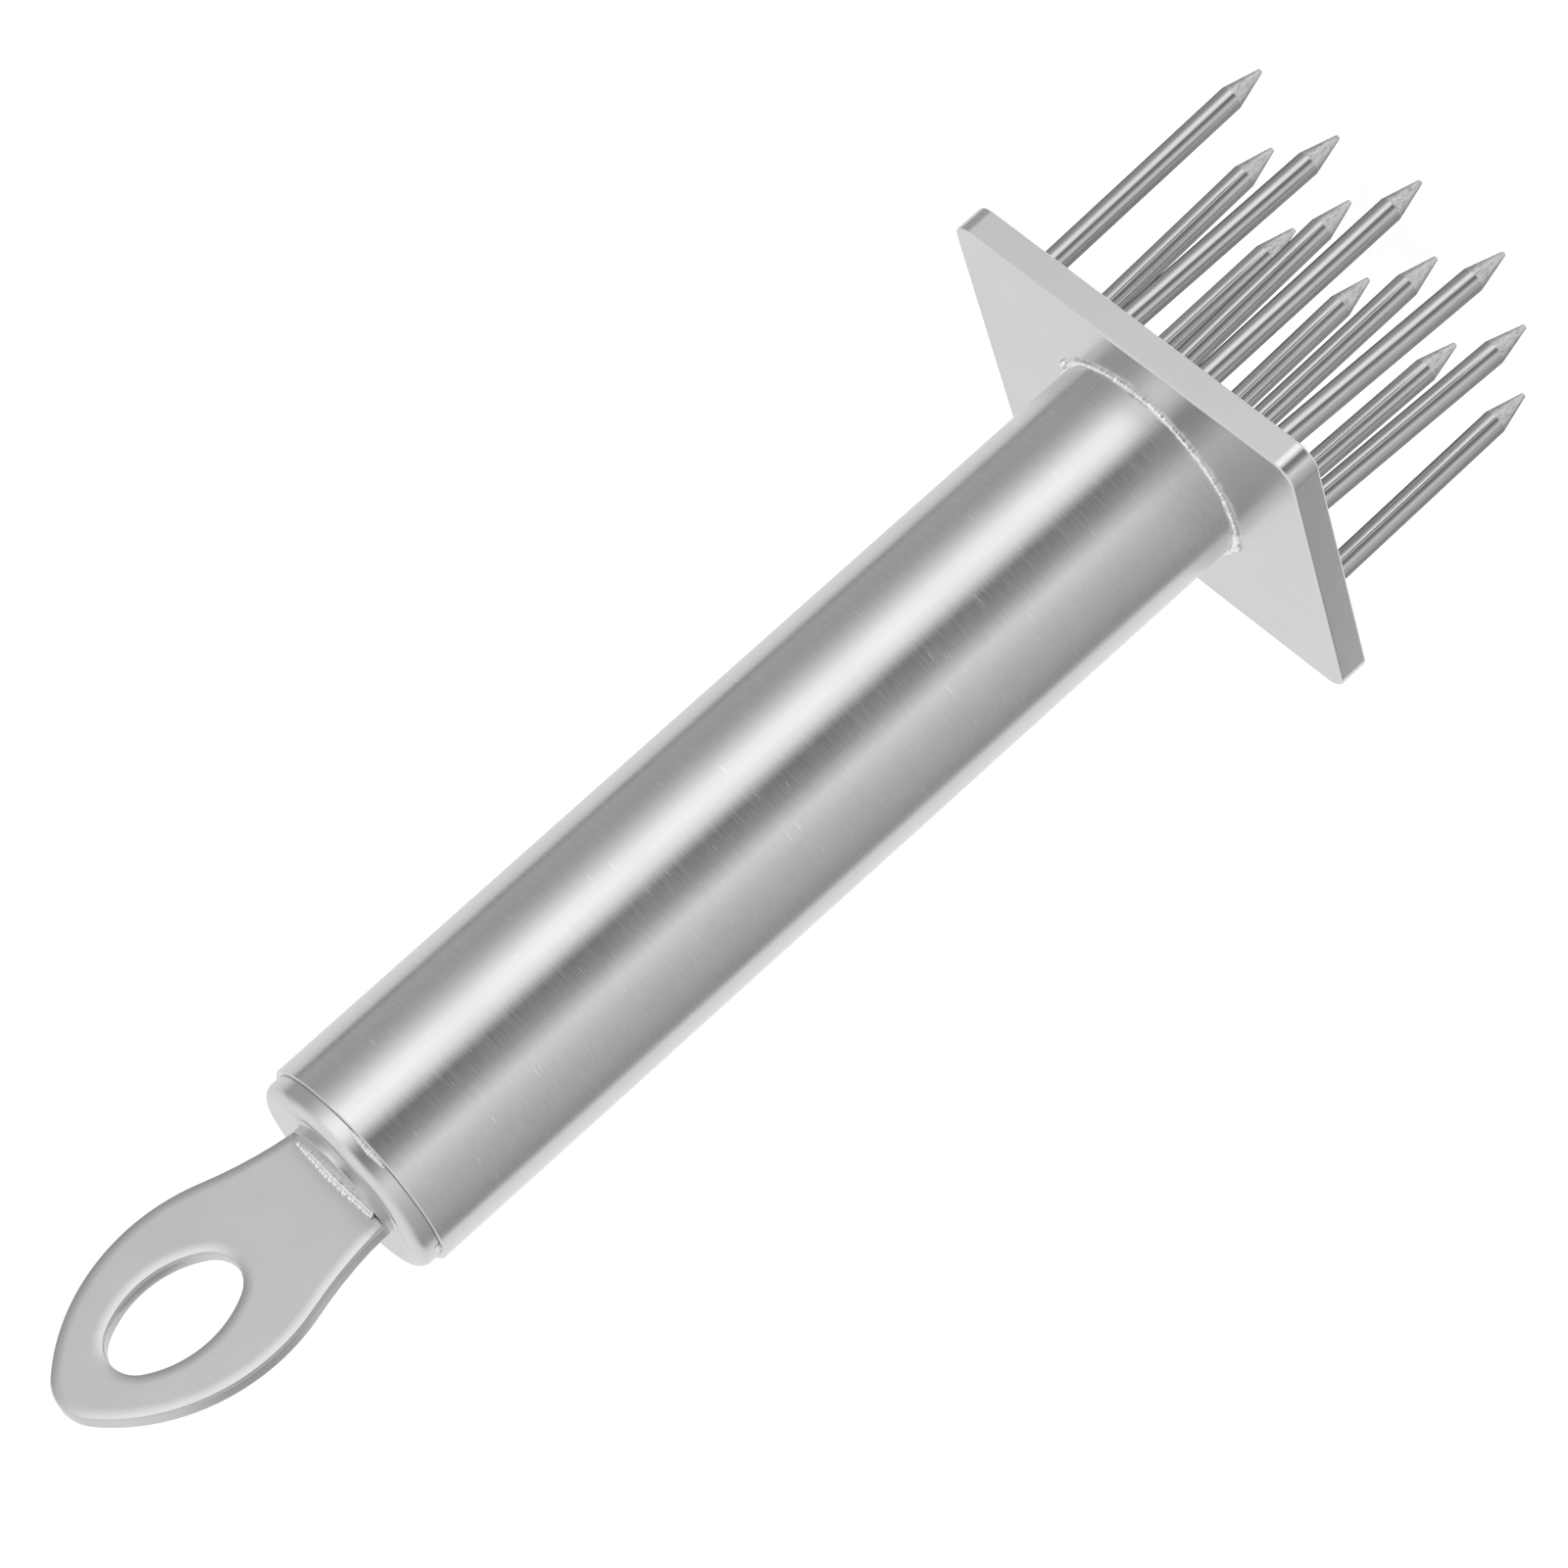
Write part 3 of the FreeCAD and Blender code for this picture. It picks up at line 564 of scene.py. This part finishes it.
def tumbled_loop_steel():
    """Sheet tumbled in stones: an even, fine satin with no direction."""
    material, tree = new_material("stainless_loop_tumbled")
    place = add(tree, "ShaderNodeTexCoord")
    # Stone marks, drawn coarse to show at 0.25 mm. In the punched walls they are drawn
    # out to 3 mm along the punch's way. Slow clouds of 6 mm lie over them.
    punched = add(tree, "ShaderNodeMapping", {
        "Vector": place.outputs["Object"], "Scale": (cells(0.25), cells(3), cells(0.25))})
    marks = add(tree, "ShaderNodeTexNoise", {
        "Vector": punched.outputs["Vector"], "Scale": 1.0, "Detail": 2.0})
    clouds = add(tree, "ShaderNodeTexNoise", {
        "Vector": place.outputs["Object"], "Scale": cells(6), "Detail": 2.0})
    tone = add(tree, "ShaderNodeMix", {
        "Factor": clouds.outputs["Fac"], "A": linear("#C4C4C4"), "B": linear("#CECECE")},
        data_type="RGBA")
    grain = add(tree, "ShaderNodeBump", {
        "Height": marks.outputs["Fac"], "Strength": 0.4, "Distance": 0.008 * MM})
    steel = add(tree, "ShaderNodeBsdfPrincipled", {
        "Base Color": tone.outputs["Result"], "Metallic": 1.0, "Roughness": 0.24,
        "Normal": grain.outputs["Normal"]})
    add(tree, "ShaderNodeOutputMaterial", {"Surface": steel.outputs["BSDF"]})
    return material


def leaf_outline():
    """Half of the loop's outline, foot to nose: a hollow neck, a wide side, the nose."""
    side = Vector((LOOP_WIDE / 2 - LOOP_SIDE, LOOP_WAIST))
    foot = Vector((LOOP_FOOT / 2, 0))
    apart = foot - side
    along = (apart.length ** 2 + (LOOP_SIDE + LOOP_NECK) ** 2 - LOOP_NECK ** 2) / 2 / apart.length
    across = math.sqrt((LOOP_SIDE + LOOP_NECK) ** 2 - along ** 2)
    neck = side + (apart * along + apart.orthogonal() * across) / apart.length
    toe = math.degrees(math.atan2(foot.y - neck.y, foot.x - neck.x))
    flank = math.degrees(math.atan2(neck.y - side.y, neck.x - side.x))
    nose_rise = math.sqrt((LOOP_SIDE - LOOP_NOSE) ** 2 - side.x ** 2)
    nose = math.degrees(math.atan2(nose_rise, -side.x))
    return [*arc(neck, LOOP_NECK, toe % 360, flank + 180, NECK_STEPS),
            *arc(side, LOOP_SIDE, flank, nose, SIDE_STEPS)[1:],
            *arc((0, LOOP_WAIST + nose_rise), LOOP_NOSE, nose, 90, NOSE_STEPS)[1:]]


def eye_outline(bearing):
    """The point of the eye's oval, two tight arcs and two wide ones, in one direction."""
    spread = EYE_TALL / 2 - EYE_END
    wide = (spread ** 2 + (EYE_WIDE / 2) ** 2 - EYE_END ** 2) / (EYE_WIDE - 2 * EYE_END)
    out = Vector((math.cos(bearing), math.sin(bearing)))
    joint = Vector((wide - EYE_WIDE / 2, spread)).normalized()
    end = Vector((0, spread)) + joint * EYE_END
    if abs(out.y) * end.x > abs(out.x) * end.y:
        centre, radius = Vector((0, math.copysign(spread, out.y))), EYE_END
    else:
        centre, radius = Vector((math.copysign(wide - EYE_WIDE / 2, -out.x), 0)), wide
    ahead = out.dot(centre)
    reach = ahead + math.sqrt(radius ** 2 - centre.length_squared + ahead ** 2)
    return out.x * reach, EYE_RISE + out.y * reach


def worn_rim():
    """The section of a worn edge, front face to back face: (distance inwards, height)."""
    wall = LOOP_THICK / 2 - MM * sum(
        width * math.tan(math.radians(slope)) for width, slope in LOOP_FALL)
    first = math.radians(LOOP_FALL[0][1])
    centre = (LOOP_EDGE, wall + LOOP_EDGE * (math.tan(first) - 1 / math.cos(first)))
    half = arc(centre, LOOP_EDGE, 180, 90 + LOOP_FALL[0][1], 5)
    inwards, height = 0.0, wall
    for width, slope in LOOP_FALL:
        inwards += width * MM
        height += width * MM * math.tan(math.radians(slope))
        half.append((inwards, height))
    return [*reversed(half), *((across, -height) for across, height in half)]


def moved_in(outline, distance):
    """A closed outline moved sideways, to its left where the distance is positive."""
    moved = []
    for place, point in enumerate(outline):
        before = (Vector(point) - Vector(outline[place - 1])).normalized().orthogonal()
        after = (Vector(outline[(place + 1) % len(outline)]) - Vector(point))
        after = after.normalized().orthogonal()
        moved.append(Vector(point) + distance * (before + after) / (1 + before.dot(after)))
    return moved


def drawn_through(bm, rings):
    """Extrudes a closed ring of points to the next one, and so on through a chain of them."""
    verts = [bm.verts.new(point) for point in rings[0]]
    edges = [bm.edges.new((verts[place - 1], verts[place])) for place in range(len(verts))]
    for ring in rings[1:]:
        made = set(bmesh.ops.extrude_edge_only(bm, edges=edges)["geom"])
        verts = [next(edge.other_vert(vert) for edge in vert.link_edges
                      if edge.other_vert(vert) in made) for vert in verts]
        edges = [bm.edges.get((verts[place - 1], verts[place])) for place in range(len(verts))]
        for vert, point in zip(verts, ring):
            vert.co = point


def hanging_loop():
    foot_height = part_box("hanging_loop")[0].z
    half = leaf_outline()
    foot = [(LOOP_FOOT / 2 * (1 - 2 * step / FOOT_STEPS), 0.0) for step in range(1, FOOT_STEPS)]
    outer = half + [(-x, z) for x, z in reversed(half[:-1])]
    outer += [(-x, z) for x, z in foot]
    eye = [eye_outline(math.atan2(z - EYE_RISE, x)) for x, z in outer]
    section = worn_rim()
    rings = []
    for outline, side in ((outer, 1), (eye, -1)):
        for inwards, height in section[::side]:
            ring = moved_in(outline, side * inwards)
            for (_, rise), point in zip(outline, ring):
                if rise < SAME_POINT:
                    point.y = min(point.y, LOOP_EDGE)    # no wear along the welded foot
            rings.append([(x, height, z) for x, z in ring])
    bm = bmesh.new()
    drawn_through(bm, rings + rings[:1])
    for vert in bm.verts:
        if vert.co.z < FOOT_BAND:    # the foot is trimmed so that its lifted half still seats
            vert.co.z -= FOOT_SINK + max(0.0, vert.co.x) * math.tan(LOOP_LEAN)
    bmesh.ops.rotate(bm, verts=bm.verts, matrix=Matrix.Rotation(-LOOP_LEAN, 3, "Y"))
    bmesh.ops.translate(bm, vec=(0, 0, foot_height), verts=bm.verts)
    finished("loop_punched", bm, [tumbled_loop_steel()], ["hanging_loop"])


hanging_loop()


# --- Welds at the foot of the loop --------------------------------------------
# A short bead on each face fuses the loop to the boss: fine bright ripples,
# thinner at both ends, left as welded.

LOOP_BEAD_LONG = 12.4 * MM
LOOP_BEAD_ENDS = 0.5    # how thick the bead still is beside its ends, as a share
LOOP_BEAD_STEPS = 8     # per ripple
# The rows of a bead, in mm: its distance from the loop's face, its height over the
# foot, its radius, and the pitch and depth of its ripples. The torch ran along the
# loop's foot, then along the boss.
LOOP_BEAD_ROWS = ((0.0, 0.1, 0.5, 0.58, 0.42), (0.45, -0.1, 0.32, 0.36, 0.5))


def loop_weld(node, side, seed):
    foot_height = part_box("hanging_loop")[0].z
    bm = bmesh.new()
    for away, rise, radius, pitch, depth in LOOP_BEAD_ROWS:
        rings = []
        steps = round(LOOP_BEAD_LONG / MM / pitch * LOOP_BEAD_STEPS)
        for step in range(steps + 1):
            along = (step / steps - 0.5) * LOOP_BEAD_LONG
            fullness = math.sqrt(max(0.0, math.sin(math.pi * step / steps)))
            taper = LOOP_BEAD_ENDS + (1 - LOOP_BEAD_ENDS) * fullness
            if step in (0, steps):
                taper = 0.0
            # The bead dips with the leaning foot, but stays on the boss where the foot lifts.
            seat = foot_height + rise * MM + min(0.0, along) * math.sin(LOOP_LEAN)
            ring = []
            for across, height in arc((0, 0), radius * MM, 0, 360, steps=14)[:-1]:
                point = Vector((along, across, height))
                thick = swell(point, along, pitch * MM, depth, seed + away) * taper
                ring.append((along, side * (LOOP_THICK / 2 + away * MM) + across * thick,
                             seat + height * thick))
            rings.append(ring)
        drawn_through(bm, rings)
    finished("bead_" + node, bm, [weld_steel], [node])


loop_weld("loop_weld_front", 1, 11.0)
loop_weld("loop_weld_back", -1, 23.0)


# --- Studio: camera, light tent and floor ---------------------------------------
# A long lens looks down a little on the standing tool and is rolled, so that the
# handle runs up across the picture. A tent of white cloth stands round the set, with
# a tall softbox beside the camera and darker stretches between.

CAMERA_BEARING = math.radians(58.2093)
CAMERA_RISE = math.radians(13.4829)
CAMERA_REACH = 684.478 * MM
CAMERA_AIM = Vector((-0.1002, 0.0621, 88.868)) * MM
CAMERA_ROLL = math.radians(-131.8517)
LENS_MM = 154.863

# Level of the tent's wall at bearings, in degrees, from the camera's stand.
TENT_WALL = (
    (-180, 0.87), (-170, 0.94), (-140, 0.97), (-126, 0.92), (-122, 0.72), (-118, 0.42),
    (-112, 0.38), (-90, 0.52), (-70, 0.6), (-50, 0.74), (-40, 0.87), (-30, 0.95),
    (-20, 0.67), (-10, 0.39), (0, 0.275), (10, 0.225), (15, 0.45), (25, 1.07), (35, 1.36),
    (40, 1.41), (50, 1.32), (60, 0.985), (70, 0.695), (80, 0.52), (90, 0.455), (112, 0.5),
    (118, 0.33), (122, 0.5), (126, 0.76), (140, 0.89), (160, 0.845), (180, 0.87),
)
BRIGHTEST = 1.5
TENT_RADIUS = 10.0
# The wall fades into plain white between these degrees up and down.
FADES_UP = (11, 48)
FADES_DOWN = (35, 50)
CEILING = 1.0
SOFT_LEVEL = 0.85
TABLE_GREY = "#A8A8A8"
TABLE_GLOW = 0.78
TABLE_RADIUS = 12
LAMP_PLACE = (0.5, 0.2, 1.3)
LAMP_ACROSS = 0.9
LAMP_POWER = 6.0


def camera():
    data = bpy.data.cameras.new("camera")
    data.lens = LENS_MM
    data.clip_start = 10 * MM
    data.clip_end = 100
    eye = bpy.data.objects.new("camera", data)
    bpy.context.scene.collection.objects.link(eye)
    away = Vector((math.cos(CAMERA_BEARING) * math.cos(CAMERA_RISE),
                   math.sin(CAMERA_BEARING) * math.cos(CAMERA_RISE), math.sin(CAMERA_RISE)))
    level = (-away).to_track_quat("-Z", "Y").to_matrix()
    turned = level @ Matrix.Rotation(CAMERA_ROLL, 3, "Z")
    eye.matrix_world = Matrix.Translation(CAMERA_AIM + away * CAMERA_REACH) @ turned.to_4x4()
    bpy.context.scene.camera = eye


def white_background():
    """White behind the tool and in its metal; a plain soft level lights the floor."""
    world = bpy.data.worlds.new("white_background")
    bpy.context.scene.world = world
    world.use_nodes = True
    tree = world.node_tree
    tree.nodes.clear()
    path = add(tree, "ShaderNodeLightPath")
    seen = add(tree, "ShaderNodeMath", {
        0: path.outputs["Is Camera Ray"], 1: path.outputs["Is Glossy Ray"]},
        operation="MAXIMUM")
    shown = add(tree, "ShaderNodeMath", {
        0: seen.outputs["Value"], 1: path.outputs["Is Transmission Ray"]},
        operation="MAXIMUM")
    soft = add(tree, "ShaderNodeBackground", {
        "Color": linear("#FFFFFF"), "Strength": SOFT_LEVEL})
    white = add(tree, "ShaderNodeBackground", {"Color": linear("#FFFFFF"), "Strength": 1.0})
    both = add(tree, "ShaderNodeMixShader", {
        "Fac": shown.outputs["Value"], 1: soft.outputs["Background"],
        2: white.outputs["Background"]})
    add(tree, "ShaderNodeOutputWorld", {"Surface": both.outputs["Shader"]})


def light_tent():
    """The tent round the set, which only shows in the metal: a striped wall, a plain top."""
    material, tree = new_material("light_tent")
    place = add(tree, "ShaderNodeTexCoord")
    parts = add(tree, "ShaderNodeSeparateXYZ", {"Vector": place.outputs["Object"]})
    bearing = add(tree, "ShaderNodeMath", {
        0: parts.outputs["Y"], 1: parts.outputs["X"]}, operation="ARCTAN2")
    share = add(tree, "ShaderNodeMapRange", {
        "Value": bearing.outputs["Value"], "From Min": -math.pi, "From Max": math.pi})
    levels = add(tree, "ShaderNodeValToRGB", {"Fac": share.outputs["Result"]})
    stops = levels.color_ramp.elements
    for count, (degrees, level) in enumerate(TENT_WALL):
        where = degrees / 360 + 0.5
        stop = stops[count] if count in (0, len(TENT_WALL) - 1) else stops.new(where)
        stop.position = where
        stop.color = [level / BRIGHTEST] * 3 + [1]
    above, below = (
        add(tree, "ShaderNodeMapRange", {
            "Value": parts.outputs["Z"],
            "From Min": way * TENT_RADIUS * math.sin(math.radians(start)),
            "From Max": way * TENT_RADIUS * math.sin(math.radians(end))})
        for way, (start, end) in ((1, FADES_UP), (-1, FADES_DOWN)))
    plain = add(tree, "ShaderNodeMath", {
        0: above.outputs["Result"], 1: below.outputs["Result"]}, operation="MAXIMUM")
    cloth = add(tree, "ShaderNodeMix", {
        "Factor": plain.outputs["Value"], "A": levels.outputs["Color"],
        "B": [CEILING / BRIGHTEST] * 3 + [1]}, data_type="RGBA")
    glow = add(tree, "ShaderNodeEmission", {
        "Color": cloth.outputs["Result"], "Strength": BRIGHTEST})
    add(tree, "ShaderNodeOutputMaterial", {"Surface": glow.outputs["Emission"]})
    material.cycles.emission_sampling = "NONE"
    bm = bmesh.new()
    bmesh.ops.create_uvsphere(bm, u_segments=96, v_segments=48, radius=TENT_RADIUS)
    mesh = bpy.data.meshes.new("light_tent")
    bm.to_mesh(mesh)
    bm.free()
    mesh.materials.append(material)
    tent = bpy.data.objects.new("light_tent", mesh)
    bpy.context.scene.collection.objects.link(tent)
    tent.rotation_euler.z = CAMERA_BEARING
    tent.visible_camera = False
    tent.visible_diffuse = False
    tent.visible_transmission = False
    tent.visible_shadow = False


def floor():
    """A white table that keeps a faint shadow of the tool."""
    material, tree = new_material("white_table")
    paper = add(tree, "ShaderNodeBsdfDiffuse", {"Color": linear(TABLE_GREY)})
    glow = add(tree, "ShaderNodeEmission", {"Color": linear("#FFFFFF"), "Strength": TABLE_GLOW})
    both = add(tree, "ShaderNodeAddShader")
    tree.links.new(paper.outputs["BSDF"], both.inputs[0])
    tree.links.new(glow.outputs["Emission"], both.inputs[1])
    path = add(tree, "ShaderNodeLightPath")
    seen = add(tree, "ShaderNodeMixShader", {"Fac": path.outputs["Is Camera Ray"]})
    tree.links.new(paper.outputs["BSDF"], seen.inputs[1])
    tree.links.new(both.outputs["Shader"], seen.inputs[2])
    add(tree, "ShaderNodeOutputMaterial", {"Surface": seen.outputs["Shader"]})
    bm = bmesh.new()
    bmesh.ops.create_circle(bm, cap_ends=True, segments=64, radius=TABLE_RADIUS)
    mesh = bpy.data.meshes.new("table")
    bm.to_mesh(mesh)
    bm.free()
    mesh.materials.append(material)
    table = bpy.data.objects.new("table", mesh)
    bpy.context.scene.collection.objects.link(table)
    table.visible_glossy = False


def lamp():
    data = bpy.data.lights.new("overhead_softbox", "AREA")
    data.shape = "DISK"
    data.size = LAMP_ACROSS
    data.energy = LAMP_POWER
    light = bpy.data.objects.new("overhead_softbox", data)
    bpy.context.scene.collection.objects.link(light)
    light.location = LAMP_PLACE
    light.visible_glossy = False
    light.rotation_euler = (-light.location).to_track_quat("-Z", "Y").to_euler()


camera()
white_background()
light_tent()
floor()
lamp()
bpy.context.scene.view_settings.view_transform = "Standard"
